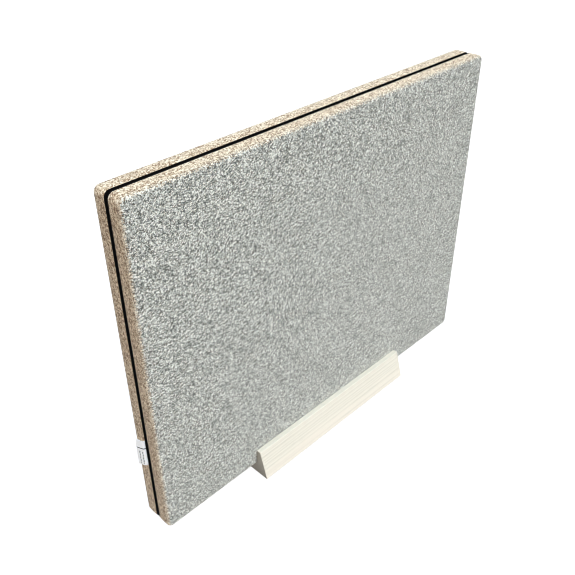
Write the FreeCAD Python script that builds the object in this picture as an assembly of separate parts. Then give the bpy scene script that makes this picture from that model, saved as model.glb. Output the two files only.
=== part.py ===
import FreeCAD, Part
import math
import os

# Desk privacy panel: an upholstered acoustic screen that stands loose in the slot of a wooden foot.
#
# Frame: +X runs along the panel's width, -Y is the front face, +Z is up. The origin is on the desk
# under the middle of the foot. Millimetres.
#
# The panel is a wooden frame with a groove all round its outer edge. An accessory track lies in that
# groove. The frame holds a centre board with an absorber board on each side of it. Wadding covers each
# side, and over it goes a felt cover in two pieces: a face piece and an edge piece, whose hem is tucked
# in beside the track.
#
# Sections are drawn as (depth, y): depth is the distance in from the panel's outline, and y is the
# distance from the panel's middle plane, negative in front.

# ---- Driving sizes: the panel
panel_width = 650.0
panel_height = 500.0
panel_thickness = 48.0
outline_radius = 8.4         # the panel's four corners, seen from the front
face_edge_radius = 4.5       # the rounding between a face and the edges
seam_angle = 24.0            # where on that rounding the face piece meets the edge piece, in degrees
seam_gap_angle = 1.5

# ---- Driving sizes: what the panel is made of
felt_thickness = 2.0
wadding_thickness = 2.5
frame_rail_width = 24.0
centre_board_thickness = 3.0
centre_board_tongue = 4.0    # how far the centre board reaches into the frame
cover_gap = 0.1              # between the felt, the wadding and the frame
wadding_slack = 0.2          # how much further in than the frame the wadding's rim stays
wadding_rim_slack = 0.5      # how much less the wadding's rim is rounded than the felt's inside
board_gap = 0.1              # round the centre board in its slot
absorber_gap = 0.3           # round the absorber boards

# ---- Driving sizes: the accessory track
track_width = 6.4
track_wall = 0.8
track_floor = 1.2
track_depth = 6.6
track_recess = 0.2           # the track's lips lie this far below the felt
hem_depth = 6.0              # how far the felt's hem goes down beside the track
hem_gap = 0.3
groove_gap = 0.1             # between the frame's groove and what lies in it
tongue_length = 12.0         # corner pieces reach this far into the straight lengths
tongue_thickness = 1.0
tongue_gap = 0.1

# ---- Driving sizes: screws
frame_screw_shank_radius = 2.0
frame_screw_head_radius = 4.0
frame_screw_head_height = 2.6
frame_screw_length = 50.0
frame_screw_sink = 0.5
frame_screw_from_outline = 17.0
track_screw_shank_radius = 1.2
track_screw_head_radius = 2.0
track_screw_head_height = 1.1
track_screw_length = 12.0
track_screws_across = 3
track_screws_up = 2
screw_hole_gap = 0.05

# ---- Driving sizes: the woven label on the left edge
label_height = 44.0
label_above_panel_bottom = 104.0
label_thickness = 0.8
label_tab_depth = 5.0
label_bend_radius = 2.5
label_bend_angle = 75.0
label_flap_length = 10.0
label_gap = 0.05

# ---- Driving sizes: the foot
foot_length = 325.0
foot_cheek_top = 8.0         # wood each side of the slot, at the top
foot_cheek_base = 21.5       # and at the base
foot_block_height = 46.0
foot_slot_depth = 29.0
slot_gap = 1.0               # between the panel and each wall of the slot
seat_gap = 0.3               # between the panel and the floor of the slot
foot_edge_radius = 1.0
antislip_thickness = 1.0
antislip_inset = 6.0

# ---- Worked out from the driving sizes
half_width = panel_width / 2
half_thickness = panel_thickness / 2
slot_floor = antislip_thickness + foot_block_height - foot_slot_depth
panel_bottom = slot_floor + seat_gap
panel_top = panel_bottom + panel_height
panel_middle = (panel_bottom + panel_top) / 2
straight_across = panel_width - 2 * outline_radius
straight_up = panel_height - 2 * outline_radius

cover_depth = felt_thickness + cover_gap
frame_half = half_thickness - felt_thickness - wadding_thickness - 2 * cover_gap
hem_start = track_width / 2 + hem_gap
groove_half = hem_start + felt_thickness + groove_gap
track_floor_depth = track_recess + track_depth - track_floor
groove_depth = track_recess + track_depth + groove_gap
opening_depth = cover_depth + frame_rail_width
board_half = centre_board_thickness / 2
wadding_rim_radius = min(face_edge_radius, wadding_thickness + felt_thickness) - felt_thickness - wadding_rim_slack
label_bottom = panel_bottom + label_above_panel_bottom

UP = FreeCAD.Vector(0, 0, 1)
RIGHT = FreeCAD.Vector(1, 0, 0)
BACK = FreeCAD.Vector(0, 1, 0)
FRONT_SIDE = -1
REAR_SIDE = 1


# ---- Drawing and sweeping sections
def section_point(depth, y):
    """A section's point, drawn across the top edge where its straight run starts, at the left."""
    return FreeCAD.Vector(outline_radius - half_width, y, panel_top - depth)


def section_face(steps, side=REAR_SIDE):
    """A flat face from a list of steps: (depth, y) for a straight line to that point, or
    (depth, y, middle depth, middle y) for an arc to it. side -1 draws it mirrored, in front."""
    first = section_point(steps[0][0], side * steps[0][1])
    here = first
    edges = []
    for step in steps[1:]:
        there = section_point(step[0], side * step[1])
        if len(step) == 4:
            middle = section_point(step[2], side * step[3])
            edges.append(Part.Arc(here, middle, there).toShape())
        else:
            edges.append(Part.LineSegment(here, there).toShape())
        here = there
    edges.append(Part.LineSegment(here, first).toShape())
    return Part.Face(Part.Wire(edges))


def moved(shape, vector):
    copy = shape.copy()
    copy.translate(vector)
    return copy


def walk(face):
    """Carries a section round the panel's outline. For each side it gives the side's name, the names of
    the corners before and after it, the section at its start, its run, and the next corner's centre."""
    across = outline_radius - half_width
    low, high = panel_bottom + outline_radius, panel_top - outline_radius
    route = [
        ("top", "top_left", "top_right", RIGHT * straight_across, (-across, high)),
        ("right", "top_right", "bottom_right", UP * -straight_up, (-across, low)),
        ("bottom", "bottom_right", "bottom_left", RIGHT * -straight_across, (across, low)),
        ("left", "bottom_left", "top_left", UP * straight_up, (across, high)),
    ]
    for side, before, after, run, (x, z) in route:
        centre = FreeCAD.Vector(x, 0, z)
        yield side, before, after, face, run, centre
        face = moved(face, run)
        face.rotate(centre, BACK, 90)


def lap(face):
    """The solids that a section sweeps round the outline, by the name of the side or corner."""
    pieces = {}
    for side, _, after, start, run, centre in walk(face):
        pieces[side] = start.extrude(run)
        pieces[after] = moved(start, run).revolve(centre, BACK, 90)
    return pieces


def joined(shapes):
    return shapes[0].multiFuse(shapes[1:]).removeSplitter()


def ring(face):
    return joined(list(lap(face).values()))


def block_inside(depth, y_low, y_high):
    """A square-cornered block this far in from the outline."""
    x, low, high = half_width - depth, panel_bottom + depth, panel_top - depth
    return Part.makeBox(2 * x, y_high - y_low, high - low, FreeCAD.Vector(-x, y_low, low))


def slab(depth, y_low, y_high):
    """The same block with the outline's round corners, where this far in any of them is left."""
    plate = block_inside(depth, y_low, y_high)
    corner = outline_radius - depth
    if corner <= 0:
        return plate
    upright = [e for e in plate.Edges if abs(e.tangentAt(e.FirstParameter).y) > 0.9]
    return plate.makeFillet(corner, upright)


def between(side, low, high):
    """Two distances from the middle plane as y values, lowest first, on the given side of it."""
    return sorted((side * low, side * high))


# ---- Felt covers
def rounding(radius, angle):
    """A point on the rounding between edge and face, as (depth, y): angle 0 is on the edge's side."""
    turn = math.radians(angle)
    depth = face_edge_radius - radius * math.cos(turn)
    y = half_thickness - face_edge_radius + radius * math.sin(turn)
    return depth, y


def edge_felt(side):
    """Half of the edge all round, from the hem beside the track to the seam with the face piece."""
    outer, inner = face_edge_radius, face_edge_radius - felt_thickness
    flat_end = half_thickness - face_edge_radius
    bend = felt_thickness * (1 - math.sqrt(0.5))
    steps = [
        (hem_depth, hem_start),
        (felt_thickness, hem_start),
        (0, hem_start + felt_thickness, bend, hem_start + bend),
        (0, flat_end),
        (*rounding(outer, seam_angle), *rounding(outer, seam_angle / 2)),
        rounding(inner, seam_angle),
        (felt_thickness, flat_end, *rounding(inner, seam_angle / 2)),
        (felt_thickness, hem_start + felt_thickness),
        (hem_depth, hem_start + felt_thickness),
    ]
    return ring(section_face(steps, side))


def face_felt(side):
    """A face sheet with its rim turned over the rounding, down to the seam."""
    outer, inner = face_edge_radius, face_edge_radius - felt_thickness
    start = seam_angle + seam_gap_angle
    middle = (start + 90) / 2
    rim_end = (face_edge_radius + outline_radius) / 2
    steps = [
        rounding(outer, start),
        (*rounding(outer, 90), *rounding(outer, middle)),
        (rim_end, half_thickness),
        (rim_end, half_thickness - felt_thickness),
        rounding(inner, 90),
        (*rounding(inner, start), *rounding(inner, middle)),
    ]
    rim = ring(section_face(steps, side))
    sheet = slab(rim_end, *between(side, half_thickness - felt_thickness, half_thickness))
    return joined([rim, sheet])


def wadding(side):
    """Polyester wadding over the frame and the absorber, with a rounded rim under the felt's."""
    low = frame_half + cover_gap
    high = low + wadding_thickness
    plate = slab(cover_depth + wadding_slack, *between(side, low, high))
    rim = [e for e in plate.Edges if all(abs(v.Y - side * high) < 1e-6 for v in e.Vertexes)]
    return plate.makeFillet(wadding_rim_radius, rim)


# ---- The frame and what it holds
def track_groove():
    """The groove round the frame's outer edge, which takes the track and the felt's hems."""
    steps = [
        (0, -groove_half),
        (0, groove_half),
        (groove_depth, groove_half),
        (groove_depth, -groove_half),
    ]
    return ring(section_face(steps))


def countersunk_screw(start, direction, gap=0.0):
    """A wood screw, its head's face at start; with a gap it is the hole for one, open at the head."""
    shank_radius = frame_screw_shank_radius + gap
    head_radius = frame_screw_head_radius + gap
    head = Part.makeCone(head_radius, shank_radius, frame_screw_head_height, start, direction)
    pieces = [head, Part.makeCylinder(shank_radius, frame_screw_length + gap, start, direction)]
    if gap:
        mouth = 2 * frame_screw_sink
        pieces.append(Part.makeCylinder(head_radius, mouth, start - direction * mouth, direction))
    return joined(pieces)


def frame_screws(gap=0.0):
    """Two screws at each corner, through the stile into the end of the rail."""
    x = half_width - cover_depth - frame_screw_sink
    y = (groove_half + frame_half) / 2
    from_outline = frame_screw_from_outline
    return [
        countersunk_screw(FreeCAD.Vector(end * x, row * y, z), RIGHT * -end, gap)
        for end in (-1, 1)
        for row in (-1, 1)
        for z in (panel_bottom + from_outline, panel_top - from_outline)
    ]


def track_screw(start, inward, gap=0.0):
    """A pan-head screw on the track's floor; with a gap it is the hole under its head."""
    shank = Part.makeCylinder(track_screw_shank_radius + gap, track_screw_length + gap, start, inward)
    if gap:
        return shank
    head_start = start - inward * track_screw_head_height
    head = Part.makeCylinder(
        track_screw_head_radius, track_screw_head_height, head_start, inward
    )
    return joined([shank, head])


def track_screws(gap=0.0):
    """Screws evenly spaced along each side of the track, by side."""
    x = half_width - track_floor_depth
    low, high = panel_bottom + track_floor_depth, panel_top - track_floor_depth
    across = [(i + 0.5) / track_screws_across - 0.5 for i in range(track_screws_across)]
    up = [(i + 0.5) / track_screws_up - 0.5 for i in range(track_screws_up)]
    screws = {"top": [], "bottom": [], "left": [], "right": []}
    for share in across:
        at = share * straight_across
        screws["top"].append(track_screw(FreeCAD.Vector(at, 0, high), UP * -1, gap))
        screws["bottom"].append(track_screw(FreeCAD.Vector(at, 0, low), UP, gap))
    for share in up:
        at = panel_middle + share * straight_up
        screws["left"].append(track_screw(FreeCAD.Vector(-x, 0, at), RIGHT, gap))
        screws["right"].append(track_screw(FreeCAD.Vector(x, 0, at), RIGHT * -1, gap))
    return screws


def frame_pieces():
    """Two full-height stiles and two rails between them, grooved outside for the track and inside for
    the centre board."""
    x_out, x_in = half_width - cover_depth, half_width - opening_depth
    z_out = panel_bottom + cover_depth
    height = panel_height - 2 * cover_depth
    thick = 2 * frame_half

    def member(x, z, length, tall):
        return Part.makeBox(length, thick, tall, FreeCAD.Vector(x, -frame_half, z))

    blanks = {
        "frame_left_stile": member(-x_out, z_out, frame_rail_width, height),
        "frame_right_stile": member(x_in, z_out, frame_rail_width, height),
        "frame_bottom_rail": member(-x_in, z_out, 2 * x_in, frame_rail_width),
        "frame_top_rail": member(-x_in, panel_top - opening_depth, 2 * x_in, frame_rail_width),
    }
    outline = slab(cover_depth, -frame_half, frame_half)
    board_slot = block_inside(
        opening_depth - centre_board_tongue - board_gap,
        -board_half - board_gap,
        board_half + board_gap,
    )
    holes = frame_screws(screw_hole_gap)
    for row in track_screws(screw_hole_gap).values():
        holes += row
    cutters = [track_groove(), board_slot] + holes
    return {name: blank.common(outline).cut(cutters) for name, blank in blanks.items()}


def centre_board():
    return block_inside(opening_depth - centre_board_tongue, -board_half, board_half)


def absorber(side):
    low = board_half + absorber_gap
    return block_inside(opening_depth + absorber_gap, *between(side, low, frame_half))


# ---- The accessory track
def channel_section(floor_depth):
    """The track's U section, open outwards, with its floor's face at this depth."""
    lip, bottom = track_recess, track_recess + track_depth
    half, mouth_half = track_width / 2, track_width / 2 - track_wall
    steps = [
        (lip, -half),
        (bottom, -half),
        (bottom, half),
        (lip, half),
        (lip, mouth_half),
        (floor_depth, mouth_half),
        (floor_depth, -mouth_half),
        (lip, -mouth_half),
    ]
    return section_face(steps)


def track_tongues():
    """The strips that each corner piece lays on the floors of its two straight neighbours."""
    top = track_floor_depth - tongue_thickness
    half = track_width / 2 - track_wall - tongue_gap
    steps = [(track_floor_depth, -half), (track_floor_depth, half), (top, half), (top, -half)]
    tongues = {"top_left": [], "top_right": [], "bottom_right": [], "bottom_left": []}
    for _, before, after, start, run, _ in walk(section_face(steps)):
        length = run * (tongue_length / run.Length)
        tongues[before].append(start.extrude(length))
        tongues[after].append(moved(start, run - length).extrude(length))
    return tongues


def track_pieces():
    """Four straight channels, and four corner pieces with a thicker floor and two tongues."""
    straights = lap(channel_section(track_floor_depth))
    corners = lap(channel_section(track_floor_depth - tongue_thickness))
    pieces = {}
    for side, holes in track_screws(screw_hole_gap).items():
        pieces["track_" + side] = straights[side].cut(holes)
    for corner, tongues in track_tongues().items():
        pieces["track_corner_" + corner] = joined([corners[corner]] + tongues)
    return pieces


# ---- The label
def label():
    """A ribbon in three stretches: a tab down beside the track, a bend towards the rear, and a flap."""
    turn = math.radians(label_bend_angle)
    half = label_thickness / 2
    tab_y = hem_start + label_gap + half
    heading = FreeCAD.Vector(-math.cos(turn), math.sin(turn), 0)
    centre = FreeCAD.Vector(-half_width, tab_y + label_bend_radius, label_bottom)

    def on_bend(radius, angle):
        return centre + FreeCAD.Vector(-math.sin(angle), -math.cos(angle), 0) * radius

    outer, inner = label_bend_radius + half, label_bend_radius - half
    tab, flap = RIGHT * label_tab_depth, heading * label_flap_length
    outer_start, outer_end = on_bend(outer, 0), on_bend(outer, turn)
    inner_start, inner_end = on_bend(inner, 0), on_bend(inner, turn)
    edges = [
        Part.LineSegment(outer_start + tab, outer_start),
        Part.Arc(outer_start, on_bend(outer, turn / 2), outer_end),
        Part.LineSegment(outer_end, outer_end + flap),
        Part.LineSegment(outer_end + flap, inner_end + flap),
        Part.LineSegment(inner_end + flap, inner_end),
        Part.Arc(inner_end, on_bend(inner, turn / 2), inner_start),
        Part.LineSegment(inner_start, inner_start + tab),
        Part.LineSegment(inner_start + tab, outer_start + tab),
    ]
    section = Part.Face(Part.Wire([edge.toShape() for edge in edges]))
    return section.extrude(UP * label_height)


def label_pocket():
    """The slit in the rear felt's hem that the label's tab is sewn into."""
    corner = FreeCAD.Vector(-half_width - felt_thickness, hem_start - hem_gap, label_bottom - label_gap)
    depth = felt_thickness + label_tab_depth + label_gap
    wide = hem_gap + label_thickness + 2 * label_gap
    return Part.makeBox(depth, wide, label_height + 2 * label_gap, corner)


# ---- The foot
def foot_block():
    """A bevelled block with a slot along its whole length for the panel."""
    slot_half = half_thickness + slot_gap
    top, base = slot_half + foot_cheek_top, slot_half + foot_cheek_base
    low, high = antislip_thickness, antislip_thickness + foot_block_height
    start = -foot_length / 2
    outline = [
        (-base, low),
        (base, low),
        (top, high),
        (slot_half, high),
        (slot_half, slot_floor),
        (-slot_half, slot_floor),
        (-slot_half, high),
        (-top, high),
        (-base, low),
    ]
    wire = Part.makePolygon([FreeCAD.Vector(start, y, z) for y, z in outline])
    block = Part.Face(wire).extrude(RIGHT * foot_length)
    outside = [
        e for e in block.Edges if not all(abs(v.Z - slot_floor) < 1e-6 for v in e.Vertexes)
    ]
    return block.makeFillet(foot_edge_radius, outside)


def antislip_sheet():
    """A thin rubber sheet stuck under the block, set in from its edges."""
    base = half_thickness + slot_gap + foot_cheek_base - antislip_inset
    length = foot_length - 2 * antislip_inset
    corner = FreeCAD.Vector(-length / 2, -base, 0)
    return Part.makeBox(length, 2 * base, antislip_thickness, corner)


# ---- All the pieces
def all_pieces():
    pieces = {"foot_block": foot_block(), "foot_antislip_sheet": antislip_sheet()}
    pieces.update(frame_pieces())
    pieces["frame_screws"] = Part.makeCompound(frame_screws())
    pieces["centre_board"] = centre_board()
    pieces.update(track_pieces())
    screws = [screw for row in track_screws().values() for screw in row]
    pieces["track_screws"] = Part.makeCompound(screws)
    for name, side in (("front", FRONT_SIDE), ("rear", REAR_SIDE)):
        pieces[name + "_absorber"] = absorber(side)
        pieces[name + "_wadding"] = wadding(side)
        pieces[name + "_face_felt"] = face_felt(side)
        pieces[name + "_edge_felt"] = edge_felt(side)
    pieces["rear_edge_felt"] = pieces["rear_edge_felt"].cut(label_pocket())
    pieces["side_label"] = label()
    return pieces


os.makedirs("parts", exist_ok=True)
for node, shape in all_pieces().items():
    solids = shape.Solids
    if not solids or not all(s.isValid() and s.Volume > 0 for s in solids):
        raise ValueError(node + " is not made of valid solids")
    body = solids[0] if len(solids) == 1 else Part.makeCompound(solids)
    body.exportStep("parts/" + node + ".step")
    print(f"{node}: {len(solids)} solid(s), {sum(s.Volume for s in solids) / 1000:.2f} cm3")
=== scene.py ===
"""Desk privacy panel: a felt-covered screen that stands in a slotted wooden foot.

Lengths are in metres, in the CAD's frame; materials count in millimetres.
"""

import math

import bmesh
import bpy
from mathutils import Matrix, Vector, noise


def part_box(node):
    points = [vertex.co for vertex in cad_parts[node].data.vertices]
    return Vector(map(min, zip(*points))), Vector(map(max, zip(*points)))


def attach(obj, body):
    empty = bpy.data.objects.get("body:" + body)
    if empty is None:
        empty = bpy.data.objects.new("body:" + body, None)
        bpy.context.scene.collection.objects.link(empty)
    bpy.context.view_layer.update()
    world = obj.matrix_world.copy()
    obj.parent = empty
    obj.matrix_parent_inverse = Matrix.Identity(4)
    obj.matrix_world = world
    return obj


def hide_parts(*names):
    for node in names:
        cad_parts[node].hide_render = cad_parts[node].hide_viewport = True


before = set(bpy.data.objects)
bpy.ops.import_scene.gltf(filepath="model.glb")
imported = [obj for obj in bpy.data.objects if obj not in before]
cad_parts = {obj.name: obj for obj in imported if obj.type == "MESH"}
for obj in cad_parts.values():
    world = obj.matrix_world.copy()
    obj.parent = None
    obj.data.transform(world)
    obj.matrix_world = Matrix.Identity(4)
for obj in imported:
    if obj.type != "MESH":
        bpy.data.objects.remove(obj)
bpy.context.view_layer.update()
scene = bpy.context.scene

MM = 0.001

# Sizes repeated from the CAD source.
OUTLINE_RADIUS = 8.4 * MM  # the panel's corners, seen from the front
ROUNDING = 4.5 * MM  # between edge and face
SEAM_ANGLE = math.radians(24)  # how far round the rounding the edge cover reaches
SEAM_GAP_ANGLE = math.radians(1.5)
FELT = 2 * MM
HEM_DEPTH = 6 * MM
HEM_START = 3.5 * MM  # from the middle plane
LABEL_THICKNESS = 0.8 * MM
LABEL_TAB_DEPTH = 5 * MM
LABEL_BEND_RADIUS = 2.5 * MM
LABEL_BEND_ANGLE = math.radians(75)
LABEL_FLAP = 10 * MM
LABEL_GAP = 0.05 * MM  # between the hem and the label's tab
FOOT_CHEEK_TOP = 8.0 * MM
FOOT_EDGE_RADIUS = 1.0 * MM
FOOT_SLOT_DEPTH = 29 * MM
SLOT_GAP = 1.0 * MM

# Read from the CAD nodes.
panel_low, panel_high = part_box("front_edge_felt")
HALF_WIDTH = (panel_high.x - panel_low.x) / 2
HALF_HEIGHT = (panel_high.z - panel_low.z) / 2
MIDDLE_Z = (panel_high.z + panel_low.z) / 2
HALF_THICKNESS = -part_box("front_face_felt")[0].y
FLAT_END = HALF_THICKNESS - ROUNDING

# How soft the covers stand. Waves and unevenness are counted per metre.
FACE_CROWN = 0.22 * MM
CROWN_REACH = 22 * MM  # over which the crown builds up, inwards from the rounding
FACE_WAVE = 0.10 * MM
FACE_WAVE_SCALE = 14
BAND_CROWN = 0.30 * MM
PILE_RELIEF = 0.10 * MM
PILE_SCALE = 260
PULL_SCALE = 35
FOLD_RADIUS = 1.1 * MM  # how tightly the edge cover folds in beside the track
SEAM_BLEND = 5.4 * MM  # how far fibres cross from one cover to the other at the seam
CUT_ANGLE = math.radians(0.4)  # how far the felt's cut edge swells at the seam
SMOOTH_ANGLE = math.radians(50)  # sharper edges are kept

# Mesh steps.
ACROSS_STEPS, UP_STEPS, CORNER_STEPS = 208, 158, 9  # round the panel
HEM_STEPS, FOLD_STEPS, BAND_STEPS, ROUNDING_STEPS = 3, 7, 8, 6  # across the edge cover
RIM_STEPS, RIM_INNER_STEPS, MARGIN_STEPS = 8, 2, 3  # across the face cover's rim
TAB_STEPS, TURN_STEPS, FLAP_STEPS, LABEL_ROWS = 4, 10, 14, 44  # along and up the label


# ---- Camera
CAMERA_PLACE = (-0.65265, -0.58334, 0.84195)
CAMERA_AZIMUTH, CAMERA_ELEVATION, CAMERA_ROLL = (math.radians(a) for a in (44.971, -34.313, -0.549))
SENSOR_WIDTH, CAMERA_LENS = 36, 45.245  # millimetres


def make_camera():
    """Looks down on the panel from its front left; the azimuth is counted from Y towards X."""
    level = math.cos(CAMERA_ELEVATION)
    ahead = Vector(
        (math.sin(CAMERA_AZIMUTH) * level, math.cos(CAMERA_AZIMUTH) * level, math.sin(CAMERA_ELEVATION))
    )
    right = ahead.cross(Vector((0, 0, 1))).normalized()
    up = right.cross(ahead)
    cosine, sine = math.cos(CAMERA_ROLL), math.sin(CAMERA_ROLL)
    right, up = right * cosine + up * sine, up * cosine - right * sine
    data = bpy.data.cameras.new("camera")
    data.sensor_width = SENSOR_WIDTH
    data.lens = CAMERA_LENS
    data.clip_start, data.clip_end = 0.05, 200
    camera = bpy.data.objects.new("camera", data)
    turn = Matrix((right, up, -ahead)).transposed().to_4x4()
    camera.matrix_world = Matrix.Translation(CAMERA_PLACE) @ turn
    scene.collection.objects.link(camera)
    scene.camera = camera


make_camera()


# ---- Materials
class Surface:
    """A material's node tree, with short calls for the nodes it needs."""

    def __init__(self, name):
        self.material = bpy.data.materials.new(name)
        self.material.use_nodes = True
        self.tree = self.material.node_tree
        self.tree.nodes.clear()
        self.output = self.tree.nodes.new("ShaderNodeOutputMaterial")
        self.shader = self.tree.nodes.new("ShaderNodeBsdfPrincipled")
        self.tree.links.new(self.shader.outputs[0], self.output.inputs["Surface"])

    def put(self, socket, value):
        """Links another node's output to the socket, or sets the socket's own value."""
        if isinstance(value, bpy.types.NodeSocket):
            self.tree.links.new(value, socket)
        elif value is not None:
            socket.default_value = value

    def set(self, **values):
        """Sets or links the shader's inputs, named with _ for each space."""
        for name, value in values.items():
            self.put(self.shader.inputs[name.replace("_", " ")], value)

    def coordinates(self, kind):
        """Object coordinates or the UV map, in millimetres."""
        node = self.tree.nodes.new("ShaderNodeTexCoord")
        return self.vector("MULTIPLY", node.outputs[kind], (1000, 1000, 1000))

    def vector(self, operation, a, b):
        node = self.tree.nodes.new("ShaderNodeVectorMath")
        node.operation = operation
        self.put(node.inputs[0], a)
        self.put(node.inputs[1], b)
        return node.outputs[0]

    def turned(self, vector, axis, angle):
        """The vector turned round an axis through the origin."""
        node = self.tree.nodes.new("ShaderNodeVectorRotate")
        node.rotation_type = "AXIS_ANGLE"
        self.put(node.inputs["Vector"], vector)
        node.inputs["Axis"].default_value = axis
        node.inputs["Angle"].default_value = angle
        return node.outputs[0]

    def maths(self, operation, a, b=None, clamp=False):
        node = self.tree.nodes.new("ShaderNodeMath")
        node.operation = operation
        node.use_clamp = clamp
        self.put(node.inputs[0], a)
        self.put(node.inputs[1], b)
        return node.outputs[0]

    def separate(self, vector):
        node = self.tree.nodes.new("ShaderNodeSeparateXYZ")
        self.put(node.inputs[0], vector)
        return node.outputs

    def combine(self, x, y, z):
        node = self.tree.nodes.new("ShaderNodeCombineXYZ")
        for socket, value in zip(node.inputs, (x, y, z)):
            self.put(socket, value)
        return node.outputs[0]

    def noise(self, vector, scale, detail=2.0, roughness=0.5):
        """(value around a half, colour) of a noise texture; scale is per millimetre."""
        node = self.tree.nodes.new("ShaderNodeTexNoise")
        self.put(node.inputs["Vector"], vector)
        self.put(node.inputs["Scale"], scale)
        self.put(node.inputs["Detail"], detail)
        self.put(node.inputs["Roughness"], roughness)
        return node.outputs["Fac"], node.outputs["Color"]

    def flecks(self, vector, scale):
        """A random tone for each small cell of the surface; scale is per millimetre."""
        node = self.tree.nodes.new("ShaderNodeTexVoronoi")
        self.put(node.inputs["Vector"], vector)
        self.put(node.inputs["Scale"], scale)
        return self.separate(node.outputs["Color"])[0]

    def spread(self, value, low, high, to_low=0.0, to_high=1.0):
        """value from low to high, stretched over the second range and held at its ends."""
        node = self.tree.nodes.new("ShaderNodeMapRange")
        node.clamp = True
        for socket, number in zip(node.inputs, (value, low, high, to_low, to_high)):
            self.put(socket, number)
        return node.outputs[0]

    def ramp(self, value, *stops):
        """A colour for each value, from (position, colour) stops."""
        node = self.tree.nodes.new("ShaderNodeValToRGB")
        self.put(node.inputs[0], value)
        elements = node.color_ramp.elements
        for place, (position, colour) in enumerate(stops):
            element = elements[place] if place < 2 else elements.new(position)
            element.position = position
            element.color = (*colour, 1)
        return node.outputs[0]

    def mix(self, factor, a, b):
        """Colour a at factor 0 and b at factor 1. The node's colour sockets are 6, 7 and, going out, 2."""
        node = self.tree.nodes.new("ShaderNodeMix")
        node.data_type = "RGBA"
        self.put(node.inputs[0], factor)
        for socket, colour in ((node.inputs[6], a), (node.inputs[7], b)):
            self.put(socket, colour if isinstance(colour, bpy.types.NodeSocket) else (*colour, 1))
        return node.outputs[2]

    def attribute(self, name):
        node = self.tree.nodes.new("ShaderNodeAttribute")
        node.attribute_name = name
        return node.outputs["Fac"]

    def bump(self, height, strength, distance):
        node = self.tree.nodes.new("ShaderNodeBump")
        self.put(node.inputs["Height"], height)
        node.inputs["Strength"].default_value = strength
        node.inputs["Distance"].default_value = distance
        self.tree.links.new(node.outputs[0], self.shader.inputs["Normal"])


FIBRE_ANGLE = math.radians(-20)
CURL, CURL_SCALE = 1.2, 0.34  # how far fibre bundles wander, in millimetres, and how often per millimetre
BUNDLE_SHARE = 0.82  # a bundle's width as a share of its length
FINE_SCALE, BROAD_SCALE, STRAND_SCALE, CROSSING_SCALE, FIBRE_SCALE = 0.90, 0.66, 0.88, 0.78, 3.1
CLOUD_SCALE, CLOUD_SHARE = 0.018, 0.04
FINE_SHARE, BROAD_SHARE, STRAND_SHARE, FIBRE_SHARE = 0.46, 0.40, 0.08, 0.06  # of the tone
# (dark, middle, light) colours of each felt
GREY = ((0.040, 0.050, 0.048), (0.41, 0.43, 0.40), (0.97, 0.99, 0.94))
BEIGE = ((0.21, 0.11, 0.048), (0.64, 0.495, 0.335), (0.99, 0.87, 0.68))


def felt(name, along, axis, own, other, at_seam, coarse=1.0):
    """Needled melange felt: light and dark fibre bundles, laid mostly along one direction, which is the
    coordinates' X turned round the axis that stands on the surface. own and other are the colours of this piece
    and of the one it meets at the seam, where fibres cross, and at_seam is the share that is its own there."""
    s = Surface(name)
    place = s.turned(s.coordinates(along), axis, FIBRE_ANGLE)
    _, push = s.noise(place, CURL_SCALE, 2.0)
    push = s.vector("MULTIPLY", s.vector("SUBTRACT", push, (0.5,) * 3), (CURL,) * 3)
    curled = s.vector("ADD", place, push)
    lengthwise = s.vector("MULTIPLY", curled, (BUNDLE_SHARE / coarse, 1 / coarse, 1 / coarse))

    # light and dark flecks in two sizes, apart from each other in the pattern
    fine = s.spread(s.flecks(lengthwise, FINE_SCALE), 0.42, 0.58)
    broad = s.spread(s.flecks(s.vector("ADD", lengthwise, (19.0, 43.0, 5.0)), BROAD_SCALE), 0.42, 0.58)

    # softer strands, some lying across the others, and the fine fibres over them
    strands, _ = s.noise(lengthwise, STRAND_SCALE, 1.0)
    crossing, _ = s.noise(s.vector("ADD", curled, (71.0, 13.0, 37.0)), CROSSING_SCALE, 1.0)
    fibres, _ = s.noise(s.vector("MULTIPLY", curled, (0.35, 1.0, 1.0)), FIBRE_SCALE, 2.0, 0.6)
    clouds, _ = s.noise(place, CLOUD_SCALE, 2.0)
    mixed = s.maths("ADD", s.maths("MULTIPLY", strands, 0.72), s.maths("MULTIPLY", crossing, 0.28))
    mixed = s.maths("ADD", mixed, s.maths("MULTIPLY", s.maths("SUBTRACT", clouds, 0.5), CLOUD_SHARE))

    tone = s.maths("ADD", s.maths("MULTIPLY", fine, FINE_SHARE), s.maths("MULTIPLY", broad, BROAD_SHARE))
    tone = s.maths("ADD", tone, s.maths("MULTIPLY", s.spread(mixed, 0.45, 0.55), STRAND_SHARE))
    tone = s.maths("ADD", tone, s.maths("MULTIPLY", fibres, FIBRE_SHARE))

    def shades(colours):
        dark, middle, light = colours
        return s.ramp(tone, (0.0, dark), (0.5, middle), (1.0, light))

    near = s.maths("ADD", s.attribute("seam"), s.spread(crossing, 0.38, 0.62, -0.4, 0.4))
    keep = s.spread(near, 0.15, 0.85, at_seam, 1.0)
    colour = s.mix(keep, shades(other), shades(own))
    s.set(Base_Color=colour, Roughness=0.95, Sheen_Weight=0.25, Sheen_Roughness=0.55)
    s.set(Specular_IOR_Level=0.15)
    s.shader.inputs["Sheen Tint"].default_value = (1, 0.98, 0.95, 1)
    height = s.maths("ADD", s.maths("MULTIPLY", mixed, 0.7), s.maths("MULTIPLY", fibres, 0.3))
    s.bump(height, 0.4, 0.5 * MM)
    return s.material


DRIFT_SHARE, PORE_SHARE, STREAK_SHARE = 0.012, 0.035, 0.006  # how much slower the wood changes along its grain
LATE_WOOD_POWER = 2.6  # the higher, the narrower a ring's dark side
WASH_EDGE, WASH_DEPTH = 9.0, 16.0  # millimetres the thicker wash's edge wanders, and over which it fades
PAINTED_SHADE_HEIGHT = 46.0  # millimetres over which the painted shade on the end grain fades, darkest at the base and lighter upwards


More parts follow.
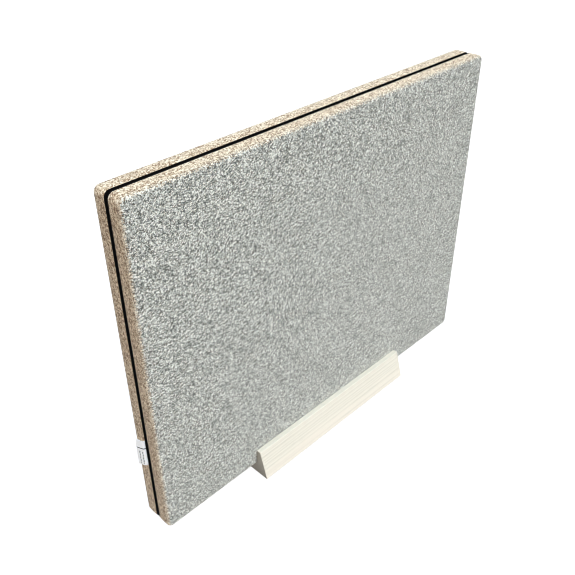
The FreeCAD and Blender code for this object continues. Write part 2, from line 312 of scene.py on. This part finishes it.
def wood(name, light, line, end, ring_pitch, pith, bare_height=0.0):
    """Plain sawn and sanded wood with its grain along X. The growth rings run round the pith, given as (y, z),
    and show as lines along the length and as arcs on the ends. Below bare_height the wash of pigment is thicker
    and a little warmer."""
    s = Surface(name)
    place = s.coordinates("Object")
    x, y, z = s.separate(place)

    def drawn_out(share):
        """Coordinates in which everything is longer along the grain."""
        return s.combine(s.maths("MULTIPLY", x, share), y, z)

    def shade(colour, amount):
        return tuple(min(1.0, c * amount) for c in colour)

    # the rings: a slow change to dark late wood, then a quick one back
    drift, _ = s.noise(drawn_out(DRIFT_SHARE), 0.055, 2.0)
    across, up = s.maths("SUBTRACT", y, pith[0]), s.maths("SUBTRACT", z, pith[1])
    squares = s.maths("ADD", s.maths("MULTIPLY", across, across), s.maths("MULTIPLY", up, up))
    ring = s.maths("MULTIPLY", s.maths("SQRT", squares), 1 / ring_pitch)
    ring = s.maths("FRACT", s.maths("ADD", ring, s.maths("MULTIPLY", drift, 3.0)))
    late = s.maths("POWER", ring, LATE_WOOD_POWER)
    early = s.spread(ring, 0.0, 0.10, 1.0, 0.0)
    band = s.maths("MAXIMUM", late, early)

    # the length: rings that come and go, and pores, both fainter under the thicker wash
    pores, _ = s.noise(drawn_out(PORE_SHARE), 1.9, 3.0, 0.65)
    streaks, _ = s.noise(drawn_out(STREAK_SHARE), 0.42, 3.0, 0.6)
    clouds, _ = s.noise(drawn_out(0.2), 0.05, 2.0)
    rings = s.maths("MULTIPLY", band, s.spread(streaks, 0.35, 0.60, 0.25, 1.0))
    low = s.maths("ADD", z, s.spread(clouds, 0.3, 0.7, -WASH_EDGE, WASH_EDGE))
    washed = s.spread(low, bare_height - 6.0, bare_height - 6.0 + WASH_DEPTH, 1.0, 0.0)
    clear = s.maths("SUBTRACT", 1.0, s.maths("MULTIPLY", washed, 0.7))
    strength = s.maths("ADD", s.maths("MULTIPLY", rings, 0.62), s.spread(pores, 0.52, 0.78, 0.0, 0.45))
    strength = s.maths("MULTIPLY", strength, clear, clamp=True)
    warm = tuple(c * k for c, k in zip(light, (1.01, 0.985, 0.985)))
    along = s.mix(strength, s.mix(washed, light, warm), line)

    # the ends: arcs and fine specks over painted shade, which darkens them towards the base
    normal = s.tree.nodes.new("ShaderNodeTexCoord").outputs["Normal"]
    ends = s.spread(s.maths("ABSOLUTE", s.separate(normal)[0]), 0.55, 0.85)
    specks, _ = s.noise(place, 2.2, 3.0, 0.7)
    # painted shade: the end grain is darker at the base and lighter towards the top
    end_grain_with_painted_shade = s.mix(s.spread(z, 0.0, PAINTED_SHADE_HEIGHT), shade(end, 0.72), shade(end, 1.3))
    end_colour_with_painted_shade = s.mix(s.maths("MULTIPLY", band, 0.40), end_grain_with_painted_shade, shade(end, 0.55))
    end_colour_with_painted_shade = s.mix(s.spread(specks, 0.48, 0.72, 0.0, 0.5), end_colour_with_painted_shade, shade(end, 0.55))

    s.set(Base_Color=s.mix(ends, along, end_colour_with_painted_shade))
    s.set(Roughness=s.spread(pores, 0.3, 0.7, 0.46, 0.62))
    height = s.maths("SUBTRACT", 1.0, s.maths("MULTIPLY", strength, 0.9))
    height = s.maths("ADD", height, s.maths("MULTIPLY", specks, s.maths("MULTIPLY", ends, 0.6)))
    s.bump(height, 0.30, 0.35 * MM)
    return s.material


def speckled(
    name,
    dark,
    light,
    scale,
    roughness=0.7,
    metallic=0.0,
    specular=0.5,
    strength=0.3,
    relief=0.15,
    stretch=(1.0, 1.0, 1.0),
):
    """An even material with fine mottling, scale times per millimetre, in its colour, roughness and surface."""
    s = Surface(name)
    place = s.vector("MULTIPLY", s.coordinates("Object"), stretch)
    mottle, _ = s.noise(place, scale, 3.0, 0.6)
    patches, _ = s.noise(place, scale * 0.06, 2.0)
    both = s.maths("ADD", s.maths("MULTIPLY", mottle, 0.75), s.maths("MULTIPLY", patches, 0.25))
    s.set(Base_Color=s.ramp(both, (0.35, dark), (0.65, light)))
    s.set(Roughness=s.spread(mottle, 0.3, 0.7, roughness - 0.08, roughness + 0.08))
    s.set(Metallic=metallic, Specular_IOR_Level=specular)
    s.bump(mottle, strength, relief * MM)
    return s.material


WARP_PITCH, WEFT_PITCH = 0.42, 0.30  # millimetres
BAR_HEIGHT, BAR_HALF = 30.5, 0.8  # the bar across the tape
DASH_ROWS, DASH_HALF, DASH_PITCH = (9.2, 13.8), 0.75, 2.9  # the rows' places across, and the dashes in them
DASHES_MIDDLE, DASHES_HALF = 14.5, 11.5  # how much of the height the rows take


def woven_tape(name):
    """White satin tape with fine ribs, and a plain bar and two rows of plain dashes woven in. It glows a
    little, as painted light.
    """
    s = Surface(name)
    place = s.coordinates("UV")
    u, v, _ = s.separate(place)

    def wave(at, pitch):
        return s.maths("SINE", s.maths("MULTIPLY", at, 2 * math.pi / pitch))

    weave = s.maths("MULTIPLY", wave(u, WARP_PITCH), wave(v, WEFT_PITCH))
    soil, _ = s.noise(place, 0.25, 3.0)
    slub, _ = s.noise(s.combine(u, s.maths("MULTIPLY", v, 0.15), 0.0), 2.4, 2.0)
    edge = s.attribute("edge")
    thread = s.maths("ADD", s.maths("MULTIPLY", weave, 0.10), slub)
    cloth = s.ramp(thread, (0.25, (0.80, 0.84, 0.88)), (0.75, (0.90, 0.94, 0.98)))
    cloth = s.mix(s.spread(soil, 0.5, 0.75, 0.0, 0.06), cloth, (0.60, 0.58, 0.54))
    wobble = s.maths("MULTIPLY", s.maths("SUBTRACT", slub, 0.5), 0.5)

    def stripe(at, centre, half):
        away = s.maths("ABSOLUTE", s.maths("SUBTRACT", s.maths("ADD", at, wobble), centre))
        return s.spread(away, half, half + 0.2, 1.0, 0.0)

    dashes = s.spread(wave(v, DASH_PITCH), -0.35, -0.15)
    rows = s.maths("MAXIMUM", stripe(u, DASH_ROWS[0], DASH_HALF), stripe(u, DASH_ROWS[1], DASH_HALF))
    rows = s.maths("MULTIPLY", s.maths("MULTIPLY", rows, dashes), stripe(v, DASHES_MIDDLE, DASHES_HALF))
    colour = s.mix(s.maths("MAXIMUM", rows, stripe(v, BAR_HEIGHT, BAR_HALF)), cloth, (0.02, 0.02, 0.022))
    colour = s.mix(s.maths("MULTIPLY", edge, 0.2), colour, (0.70, 0.70, 0.70))
    s.set(Base_Color=colour, Roughness=0.55, Sheen_Weight=0.15, Sheen_Roughness=0.4)
    # painted light: the tape glows a little, so it looks brighter than the lamps make it
    s.set(Emission_Color=colour, Emission_Strength=0.22)
    s.bump(s.maths("ADD", s.maths("MULTIPLY", weave, 0.5), s.maths("MULTIPLY", edge, 1.5)), 0.55, 0.12 * MM)
    return s.material


face_material = felt("felt grey", "Object", (0, -1, 0), GREY, BEIGE, 0.30)
band_material = felt("felt beige", "UV", (0, 0, 1), BEIGE, GREY, 0.75, coarse=1.15)
foot_material = wood(
    "washed wood",
    light=(0.845, 0.80, 0.685),
    line=(0.47, 0.44, 0.36),
    end=(0.42, 0.395, 0.34),
    ring_pitch=1.15,
    pith=(-150.0, 31.0),
    bare_height=12.0,
)
label_material = woven_tape("label tape")
frame_material = wood(
    "frame wood",
    light=(0.70, 0.50, 0.29),
    line=(0.42, 0.24, 0.11),
    end=(0.50, 0.33, 0.18),
    ring_pitch=2.4,
    pith=(-90.0, -40.0),
)
# by the slot names that the CAD nodes' meshes carry: name, dark, light, scale, roughness
cad_materials = {
    "antislip_rubber": speckled(
        "anti-slip rubber", (0.018, 0.018, 0.02), (0.055, 0.055, 0.06), 1.6, 0.85, relief=0.3
    ),
    "screw_steel": speckled(
        "screw steel", (0.50, 0.49, 0.47), (0.66, 0.65, 0.62), 3.0, 0.34,
        metallic=1.0, strength=0.12, relief=0.05,
    ),
    "fibreboard": speckled("fibreboard", (0.23, 0.14, 0.075), (0.40, 0.26, 0.15), 1.3, 0.8),
    "track_black": speckled(
        "track black", (0.0016, 0.0015, 0.0015), (0.005, 0.0045, 0.0045), 2.5, 0.62,
        specular=0.12, strength=0.10, relief=0.05,
    ),
    "screw_black": speckled(
        "screw black", (0.006, 0.006, 0.006), (0.016, 0.016, 0.017), 3.0, 0.38, strength=0.1, relief=0.05
    ),
    "absorber_fibre": speckled(
        "absorber fibre", (0.055, 0.058, 0.062), (0.22, 0.225, 0.23), 0.9, 0.95,
        strength=0.6, relief=0.6, stretch=(0.4, 1.0, 1.0),
    ),
    "wadding_white": speckled(
        "wadding", (0.62, 0.62, 0.60), (0.86, 0.86, 0.85), 0.5, 0.95,
        strength=0.6, relief=0.8, stretch=(0.5, 1.0, 0.8),
    ),
    "frame_wood": frame_material,
}


# ---- The panel's outline
def outline_walk(across_steps, up_steps, corner_steps):
    """Points round the panel, as (anchor, outward): the anchor lies on the rectangle through the corners'
    centres, and the outline is the corner radius further out. It starts at the lower left and goes right."""
    x, z = HALF_WIDTH - OUTLINE_RADIUS, HALF_HEIGHT - OUTLINE_RADIUS
    corners = [(-x, -z), (x, -z), (x, z), (-x, z)]
    walk = []
    for side in range(4):
        a, b = Vector(corners[side]), Vector(corners[(side + 1) % 4])
        steps = across_steps if side % 2 == 0 else up_steps
        facing = math.radians(-90 + 90 * side)
        for i in range(steps):
            walk.append((a.lerp(b, i / steps), facing))
        for i in range(corner_steps):
            walk.append((b, facing + math.radians(90) * i / corner_steps))
    return [(anchor, Vector((math.cos(t), math.sin(t)))) for anchor, t in walk]


WALK = outline_walk(ACROSS_STEPS, UP_STEPS, CORNER_STEPS)


def outline_point(place, depth, y):
    """The point at a place on the walk, depth inside the outline."""
    anchor, outward = WALK[place % len(WALK)]
    at = anchor + outward * (OUTLINE_RADIUS - depth)
    return Vector((at.x, y, MIDDLE_Z + at.y))


def rounding_point(radius, angle):
    """A point on the rounding between edge and face, as (depth, y): angle 0 is on the edge's side."""
    return ROUNDING - radius * math.cos(angle), FLAT_END + radius * math.sin(angle)


def arc(centre_depth, centre_y, radius, start, end, steps):
    """Points (depth, y) round a centre; angle 0 points outwards and 90 degrees away from the middle plane."""
    turns = [start + (end - start) * i / steps for i in range(steps + 1)]
    return [(centre_depth - radius * math.cos(t), centre_y + radius * math.sin(t)) for t in turns]


def straight(a, b, steps):
    """Points between a and b, without the two themselves."""
    return [(a[0] + (b[0] - a[0]) * i / steps, a[1] + (b[1] - a[1]) * i / steps) for i in range(1, steps)]


def relief(point, scale, amount):
    """Smooth unevenness of about the given amount."""
    return amount * noise.fractal(point * scale, 0.6, 2.0, 3)


def new_object(name, vertices, faces, material):
    mesh = bpy.data.meshes.new(name)
    mesh.from_pydata([tuple(v) for v in vertices], [], faces)
    mesh.validate()
    made = bpy.data.objects.new(name, mesh)
    scene.collection.objects.link(made)
    mesh.materials.append(material)
    return made


def face_outwards(made):
    shape = bmesh.new()
    shape.from_mesh(made.data)
    bmesh.ops.recalc_face_normals(shape, faces=shape.faces)
    shape.to_mesh(made.data)
    shape.free()


def smooth(made):
    made.data.shade_smooth()
    made.data.set_sharp_from_angle(angle=SMOOTH_ANGLE)


def give_values(made, name, values):
    """Stores a number at each point of the mesh, for its material to read."""
    attribute = made.data.attributes.new(name, "FLOAT", "POINT")
    attribute.data.foreach_set("value", values)


def lengths(path):
    """The distance along a path to each of its points."""
    along = [0.0]
    for a, b in zip(path, path[1:]):
        along.append(along[-1] + math.hypot(b[0] - a[0], b[1] - a[1]))
    return along


def lofted(section):
    """Vertices and faces of a closed section carried round the outline."""
    count, total = len(section), len(WALK)
    vertices = [outline_point(i, depth, y) for i in range(total) for depth, y in section]
    faces = []
    for i in range(total):
        for j in range(count):
            k, after = (j + 1) % count, (i + 1) % total
            faces.append((i * count + j, i * count + k, after * count + k, after * count + j))
    return vertices, faces


def edge_cover(name, side):
    """The felt band round half of the edge: hem, soft fold beside the track, band and rounding to the seam."""
    outer = [(HEM_DEPTH, HEM_START)]
    outer += straight((HEM_DEPTH, HEM_START), (FOLD_RADIUS, HEM_START), HEM_STEPS)
    outer += arc(FOLD_RADIUS, HEM_START + FOLD_RADIUS, FOLD_RADIUS, math.radians(-90), 0, FOLD_STEPS)
    band_start = outer[-1][1]
    for i in range(1, BAND_STEPS):
        share = i / BAND_STEPS
        crown = BAND_CROWN * math.sin(math.pi * share) ** 0.8
        outer.append((-crown, band_start + (FLAT_END - band_start) * share))
    outer += arc(ROUNDING, FLAT_END, ROUNDING, 0, SEAM_ANGLE, ROUNDING_STEPS)
    cut = rounding_point(ROUNDING - FELT / 2, SEAM_ANGLE + CUT_ANGLE)
    inner = [rounding_point(ROUNDING - FELT, SEAM_ANGLE), rounding_point(ROUNDING - FELT, 0)]
    inner += [(FELT, HEM_START + FELT), (HEM_DEPTH, HEM_START + FELT)]
    section = outer + [cut] + inner
    vertices, faces = lofted([(depth, side * y) for depth, y in section])
    made = new_object(name, vertices, faces, band_material)

    # distances along the section and round the outline, for the fibres' direction
    along = lengths(section + section[:1])
    edge_walk = [0.0]
    for i in range(len(WALK)):
        edge_walk.append(edge_walk[-1] + (outline_point(i + 1, 0, 0) - outline_point(i, 0, 0)).length)
    count = len(section)
    uv = made.data.uv_layers.new(name="covering")
    for polygon in made.data.polygons:
        first = min(v // count for v in polygon.vertices)
        wraps = first == 0 and max(v // count for v in polygon.vertices) == len(WALK) - 1
        low = min(v % count for v in polygon.vertices)
        turns = low == 0 and max(v % count for v in polygon.vertices) == count - 1
        for loop, vertex in zip(polygon.loop_indices, polygon.vertices):
            i, j = divmod(vertex, count)
            u = edge_walk[len(WALK)] if wraps and i == 0 else edge_walk[i]
            v = along[count] if turns and j == 0 else along[j]
            uv.data[loop].uv = (u, -side * v)
    seam_at = along[len(outer) - 1]
    near = [min(1.0, abs(along[j] - seam_at) / SEAM_BLEND) for j in range(count)]
    give_values(made, "seam", [near[v % count] for v in range(len(made.data.vertices))])

    # a little unevenness, as felt pulled over an edge has it, between the hem and the seam
    shown = range(HEM_STEPS + 1, len(outer) - 2)
    for index, vertex in enumerate(made.data.vertices):
        i, j = divmod(index, count)
        if j in shown:
            outward = WALK[i][1]
            lift = sum(relief(vertex.co, scale, PILE_RELIEF) for scale in (PILE_SCALE, PULL_SCALE))
            vertex.co += Vector((outward.x, 0, outward.y)) * lift
    face_outwards(made)
    smooth(made)
    return made


def face_cover(name, side):
    """The felt over one face, its rim turned over the rounding down to the seam."""
    start = SEAM_ANGLE + SEAM_GAP_ANGLE
    rings = arc(ROUNDING, FLAT_END, ROUNDING, start, math.radians(90), RIM_STEPS)
    for i in range(1, MARGIN_STEPS + 1):
        rings.append((ROUNDING + (OUTLINE_RADIUS - ROUNDING) * i / MARGIN_STEPS, HALF_THICKNESS))
    inner = [rounding_point(ROUNDING - FELT / 2, start - CUT_ANGLE), rounding_point(ROUNDING - FELT, start)]
    inner += arc(ROUNDING, FLAT_END, ROUNDING - FELT, start, math.radians(90), RIM_INNER_STEPS)[1:]
    inner.append((OUTLINE_RADIUS * 0.9, HALF_THICKNESS - FELT))
    total = len(WALK)
    vertices, faces, near = [], [], []
    ordered = inner[::-1] + rings
    for place, (depth, y) in enumerate(ordered):
        if depth < ROUNDING:
            distance = abs(math.atan2(y - FLAT_END, ROUNDING - depth) - start) * ROUNDING
        else:
            distance = (math.pi / 2 - start) * ROUNDING + depth - ROUNDING
        for i in range(total):
            vertices.append(outline_point(i, depth, side * y))
            near.append(min(1.0, distance / SEAM_BLEND) if place >= len(inner) - 2 else 1.0)
    for ring in range(len(ordered) - 1):
        for i in range(total):
            j = (i + 1) % total
            low, high = ring * total, (ring + 1) * total
            faces.append((low + i, low + j, high + j, high + i))
    faces.append(tuple(range(total)))
    x, z = HALF_WIDTH - OUTLINE_RADIUS, HALF_HEIGHT - OUTLINE_RADIUS
    base = len(vertices)
    for k in range(UP_STEPS + 1):
        for i in range(ACROSS_STEPS + 1):
            across, up = 2 * x * i / ACROSS_STEPS - x, 2 * z * k / UP_STEPS - z
            vertices.append(Vector((across, side * HALF_THICKNESS, MIDDLE_Z + up)))
            near.append(1.0)
    row = ACROSS_STEPS + 1
    for k in range(UP_STEPS):
        for i in range(ACROSS_STEPS):
            corner = base + k * row + i
            faces.append((corner, corner + 1, corner + row + 1, corner + row))
    made = new_object(name, vertices, faces, face_material)
    give_values(made, "seam", near)

    # the rings and the flat grid meet along the corners' centres; then the middle swells a little
    shape = bmesh.new()
    shape.from_mesh(made.data)
    bmesh.ops.remove_doubles(shape, verts=shape.verts, dist=1e-6)
    bmesh.ops.recalc_face_normals(shape, faces=shape.faces)
    for vertex in shape.verts:
        if side * vertex.co.y < HALF_THICKNESS - 0.5 * MM:
            continue
        to_side, to_end = HALF_WIDTH - abs(vertex.co.x), HALF_HEIGHT - abs(vertex.co.z - MIDDLE_Z)
        inside = min(to_side, to_end) - ROUNDING
        share = 1 - math.exp(-max(0.0, inside) / CROWN_REACH)
        lift = FACE_CROWN * share + share * relief(vertex.co, FACE_WAVE_SCALE, FACE_WAVE)
        vertex.co.y += side * lift
    shape.to_mesh(made.data)
    shape.free()
    smooth(made)
    return made


for prefix, side in (("front", -1), ("rear", 1)):
    cover = face_cover(prefix + "_face_cover", side)
    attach(cover, "panel")
    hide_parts(prefix + "_face_felt")
    band = edge_cover(prefix + "_edge_cover", side)
    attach(band, "panel")
    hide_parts(prefix + "_edge_felt")


# ---- The woven label
CURL_PER_STEP = math.radians(0.5)
LABEL_MARGIN = 0.3 * MM  # kept free above and below
LABEL_LEAN, LABEL_RISE = 2.2 * MM, 1.4 * MM  # how far the foot of the flap leans out, and the tab sits higher
LABEL_SWAY, LABEL_RIPPLE, CORNER_CURL = 0.45, 0.18, 0.8  # millimetres
LABEL_SELVAGE = 0.9 * MM  # the thicker woven edge
TAPE_THICKNESS = LABEL_THICKNESS * 0.8


def label_path():
    """The tape's middle line seen from above, as (x, y): tab, bend towards the rear, and flap."""
    y = HEM_START + LABEL_GAP + LABEL_THICKNESS / 2
    x = -HALF_WIDTH
    path = [(x + LABEL_TAB_DEPTH * (1 - i / TAB_STEPS), y) for i in range(TAB_STEPS + 1)]
    turn, heading = LABEL_BEND_ANGLE / TURN_STEPS, 0.0
    for _ in range(TURN_STEPS):
        heading += turn
        x -= math.cos(heading - turn / 2) * LABEL_BEND_RADIUS * turn
        y += math.sin(heading - turn / 2) * LABEL_BEND_RADIUS * turn
        path.append((x, y))
    for _ in range(FLAP_STEPS):
        heading += CURL_PER_STEP
        x -= math.cos(heading) * LABEL_FLAP / FLAP_STEPS
        y += math.sin(heading) * LABEL_FLAP / FLAP_STEPS
        path.append((x, y))
    return path


def make_label():
    """A short tape whose end is tucked in beside the track; it bends towards the rear and curls a little."""
    low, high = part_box("side_label")
    height = high.z - low.z
    path = label_path()
    along = lengths(path)
    length, tab = along[-1], along[TAB_STEPS]
    vertices, uvs, edges = [], [], []
    for k in range(LABEL_ROWS + 1):
        up = k / LABEL_ROWS
        for (x, y), t in zip(path, along):
            free = max(0.0, (t - tab) / (length - tab))
            waves = LABEL_SWAY * math.sin(up * 5.2 + 0.6) + LABEL_RIPPLE * math.sin(up * 13.0)
            sway = free * free * waves * MM
            corner = free**3 * (abs(up - 0.5) * 2) ** 6 * CORNER_CURL * MM
            lean = -free * (1 - up) * LABEL_LEAN
            at_z = low.z + LABEL_MARGIN + (height - 2 * LABEL_MARGIN) * up + (1 - free) * LABEL_RISE
            vertices.append(Vector((x + sway + corner + lean, y, at_z)))
            uvs.append((t, up * height))
            to_edge = min(min(up, 1 - up) * height, length - t)
            edges.append(max(0.0, 1 - to_edge / LABEL_SELVAGE))
    columns = len(path)
    faces = [
        (k * columns + i, k * columns + i + 1, (k + 1) * columns + i + 1, (k + 1) * columns + i)
        for k in range(LABEL_ROWS)
        for i in range(columns - 1)
    ]
    made = new_object("woven_label", vertices, faces, label_material)
    layer = made.data.uv_layers.new(name="tape")
    for loop in made.data.loops:
        layer.data[loop.index].uv = uvs[loop.vertex_index]
    give_values(made, "edge", edges)
    made.data.shade_smooth()
    thick = made.modifiers.new("thickness", "SOLIDIFY")
    thick.thickness = TAPE_THICKNESS
    thick.offset = 0
    return made, length, height


label, label_length, label_height = make_label()
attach(label, "panel")
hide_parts("side_label")


# ---- The foot
def make_foot():
    """The bevelled block with its slot, its edges eased."""
    low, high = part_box("foot_block")
    slot = HALF_THICKNESS + SLOT_GAP
    top = slot + FOOT_CHEEK_TOP
    floor = high.z - FOOT_SLOT_DEPTH
    base = high.y
    right = [(base, low.z), (top, high.z), (slot, high.z), (slot, floor)]
    outline = [(-base, low.z)] + right + [(-y, z) for y, z in right[:0:-1]]
    count = len(outline)
    vertices = [(x, y, z) for x in (low.x, high.x) for y, z in outline]
    faces = [(i, (i + 1) % count, count + (i + 1) % count, count + i) for i in range(count)]
    faces += [tuple(range(count)), tuple(range(count, 2 * count))]
    made = new_object("foot_wood", vertices, faces, foot_material)
    face_outwards(made)
    bevel = made.modifiers.new("eased edges", "BEVEL")
    bevel.width = FOOT_EDGE_RADIUS
    bevel.segments = 4
    bevel.limit_method = "ANGLE"
    bevel.angle_limit = math.radians(20)
    bevel.harden_normals = True
    made.data.shade_smooth()
    return made


foot = make_foot()
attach(foot, "foot")
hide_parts("foot_block")


# ---- The CAD nodes that stay
for slot_name, material in cad_materials.items():
    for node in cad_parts.values():
        if any(m and m.name.split(".")[0] == slot_name for m in node.data.materials):
            for slot in node.material_slots:
                slot.material = material


# ---- Floor and light
FLOOR_SIZE = 40  # metres to each side
FLOOR_GLOW = 0.86
WORLD_SEEN = 1.05  # the white that the camera sees
WORLD_BELOW, WORLD_ABOVE = 0.02, 0.64  # the light that reaches the object
WHITE = (1.0, 1.0, 1.0)


def make_floor():
    """A pale floor that glows enough to read as white, and lights nothing."""
    s = Surface("studio floor")
    grain, _ = s.noise(s.coordinates("Object"), 0.004, 2.0)
    s.set(Base_Color=s.ramp(grain, (0.3, (0.24, 0.24, 0.24)), (0.7, (0.26, 0.26, 0.26))), Roughness=0.9)
    s.set(Specular_IOR_Level=0.0, Emission_Color=(*WHITE, 1), Emission_Strength=FLOOR_GLOW)
    corners = [(x * FLOOR_SIZE, y * FLOOR_SIZE, 0) for x, y in ((-1, -1), (1, -1), (1, 1), (-1, 1))]
    floor = new_object("floor", corners, [(0, 1, 2, 3)], s.material)
    floor.visible_diffuse = False


def soft_sun(name, towards, strength, angle, colour=WHITE):
    """Even light from a direction; a strength of 1 lights a white surface that faces it to white."""
    data = bpy.data.lights.new(name, "SUN")
    data.energy = strength * math.pi
    data.angle = math.radians(angle)
    data.color = colour
    light = bpy.data.objects.new(name, data)
    light.rotation_euler = (-Vector(towards)).to_track_quat("-Z", "Y").to_euler()
    scene.collection.objects.link(light)


def make_world():
    """White to the camera; to the object it is bright above and dark below."""
    world = bpy.data.worlds.new("studio")
    scene.world = world
    world.use_nodes = True
    tree = world.node_tree
    tree.nodes.clear()
    make, link = tree.nodes.new, tree.links.new
    output = make("ShaderNodeOutputWorld")
    seen, lit = make("ShaderNodeBackground"), make("ShaderNodeBackground")
    seen.inputs["Color"].default_value = (*WHITE, 1)
    seen.inputs["Strength"].default_value = WORLD_SEEN
    coordinates = make("ShaderNodeTexCoord")
    split = make("ShaderNodeSeparateXYZ")
    spread = make("ShaderNodeMapRange")
    path = make("ShaderNodeLightPath")
    mix = make("ShaderNodeMixShader")
    link(coordinates.outputs["Generated"], split.inputs[0])
    link(split.outputs["Z"], spread.inputs["Value"])
    spread.inputs["From Min"].default_value = -1
    spread.inputs["To Min"].default_value = WORLD_BELOW
    spread.inputs["To Max"].default_value = WORLD_ABOVE
    link(spread.outputs[0], lit.inputs["Strength"])
    link(path.outputs["Is Camera Ray"], mix.inputs[0])
    link(lit.outputs[0], mix.inputs[1])
    link(seen.outputs[0], mix.inputs[2])
    link(mix.outputs[0], output.inputs["Surface"])


make_floor()
make_world()
soft_sun("key", (-0.06, -0.74, 0.67), 0.85, 40)
soft_sun("rear fill", (0.25, 0.87, 0.42), 0.35, 60)
soft_sun("side fill", (-0.95, 0.0, 0.31), 0.153, 60, (1.0, 0.62, 0.25))
soft_sun("overhead", (0.0, 0.0, 1.0), 0.25, 60, (0.0, 0.52, 1.0))
scene.view_settings.view_transform = "Standard"
scene.view_settings.look = "None"
scene.cycles.filter_width = 1.0
